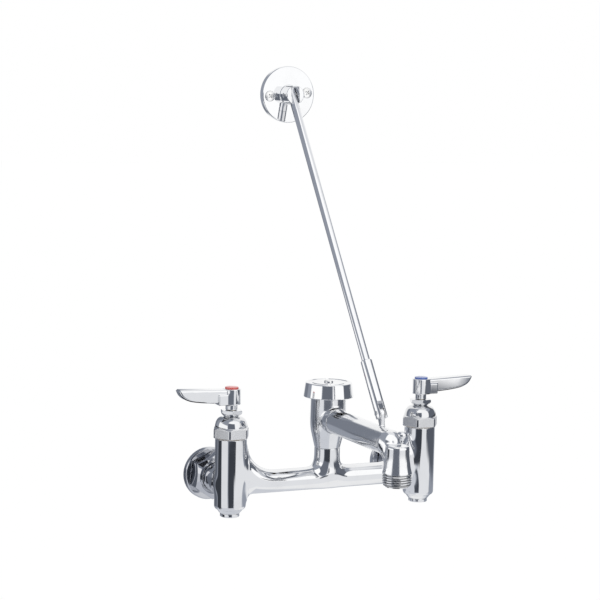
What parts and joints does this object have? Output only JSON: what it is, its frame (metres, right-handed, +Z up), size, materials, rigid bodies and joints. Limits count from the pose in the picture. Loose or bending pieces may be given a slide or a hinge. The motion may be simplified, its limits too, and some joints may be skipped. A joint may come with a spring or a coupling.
{
  "type": "wall faucet",
  "caption": "Wall-mounted service sink faucet: lever-handle valves on a bridge body, vacuum breaker, spout with pail hook and hose thread, and a brace rod to a wall flange.",
  "frame": {"origin": "midway between the two inlet centres, in the plane of the finished wall", "axes": "+X from the hot inlet to the cold inlet, +Y into the wall, +Z up"},
  "size_m": [0.3138, 0.2286, 0.4274],
  "materials": {
    "chrome_cast": "bright chrome plate over a polished brass casting",
    "chrome_turned": "bright chrome plate over turned brass",
    "chrome_rod": "bright chrome plate over drawn steel rod",
    "stainless": "plain stainless steel",
    "brass": "machined brass, unplated",
    "ceramic": "lapped alumina ceramic",
    "seal_rubber": "black rubber",
    "fibre_seal": "compressed fibre",
    "float_plastic": "white acetal",
    "red_button": "red moulded plastic",
    "blue_button": "blue moulded plastic"
  },
  "bodies": {
    "faucet": {"valve_body": "chrome_cast", "hot_wall_flange": "chrome_turned", "hot_inlet_washer": "seal_rubber", "hot_snap_ring": "stainless", "hot_coupling_nut": "chrome_turned", "hot_seat_gasket": "seal_rubber", "hot_fixed_disc": "ceramic", "hot_cartridge": "brass", "hot_bonnet_gasket": "fibre_seal", "hot_bonnet": "chrome_turned", "hot_packing": "fibre_seal", "hot_gland_nut": "chrome_turned", "hot_plug_washer": "seal_rubber", "hot_bottom_plug": "chrome_turned", "cold_wall_flange": "chrome_turned", "cold_inlet_washer": "seal_rubber", "cold_snap_ring": "stainless", "cold_coupling_nut": "chrome_turned", "cold_seat_gasket": "seal_rubber", "cold_fixed_disc": "ceramic", "cold_cartridge": "brass", "cold_bonnet_gasket": "fibre_seal", "cold_bonnet": "chrome_turned", "cold_packing": "fibre_seal", "cold_gland_nut": "chrome_turned", "cold_plug_washer": "seal_rubber", "cold_bottom_plug": "chrome_turned", "breaker_housing": "chrome_cast", "air_port_plate": "brass", "breaker_cap": "chrome_turned", "cap_screw": "stainless", "spout_gasket": "fibre_seal", "spout": "chrome_cast"},
    "hot_valve": {"hot_stem": "brass", "hot_moving_disc": "ceramic", "hot_handle": "chrome_cast", "hot_handle_screw": "stainless", "hot_index_button": "red_button"},
    "cold_valve": {"cold_stem": "brass", "cold_moving_disc": "ceramic", "cold_handle": "chrome_cast", "cold_handle_screw": "stainless", "cold_index_button": "blue_button"},
    "breaker_float": {"breaker_poppet": "float_plastic", "poppet_seal": "seal_rubber"},
    "brace_fork": {"brace_sleeve": "chrome_turned", "sleeve_set_screw": "stainless", "lug_pin": "stainless"},
    "brace_tie": {"brace_rod": "chrome_rod"},
    "brace_foot": {"brace_flange": "chrome_turned", "brace_pin": "stainless", "wall_screws": "stainless"}
  },
  "joints": [
    {"name": "hot_turn", "type": "hinge", "parent": "faucet", "child": "hot_valve", "pos_m": [-0.1016, -0.0572, 0.085], "axis": [0, 0, 1], "range_deg": [0, 90]},
    {"name": "cold_turn", "type": "hinge", "parent": "faucet", "child": "cold_valve", "pos_m": [0.1016, -0.0572, 0.085], "axis": [0, 0, 1], "range_deg": [-90, 0]},
    {"name": "breaker_lift", "type": "slide", "parent": "faucet", "child": "breaker_float", "axis": [0, 0, 1], "range_m": [0, 0.0039]},
    {"name": "brace_swing", "type": "hinge", "parent": "faucet", "child": "brace_fork", "pos_m": [0, -0.168, 0.082], "axis": [0.9958, 0, 0.0913], "range_deg": [-30, 50]},
    {"name": "brace_length", "type": "slide", "parent": "brace_fork", "child": "brace_tie", "axis": [-0.0806, 0.4689, 0.8796], "range_m": [-0.0045, 0.02]},
    {"name": "foot_swing", "type": "hinge", "parent": "brace_tie", "child": "brace_foot", "pos_m": [-0.0263, -0.015, 0.369], "axis": [0.9958, 0, 0.0913], "range_deg": [-25, 60]}
  ]
}
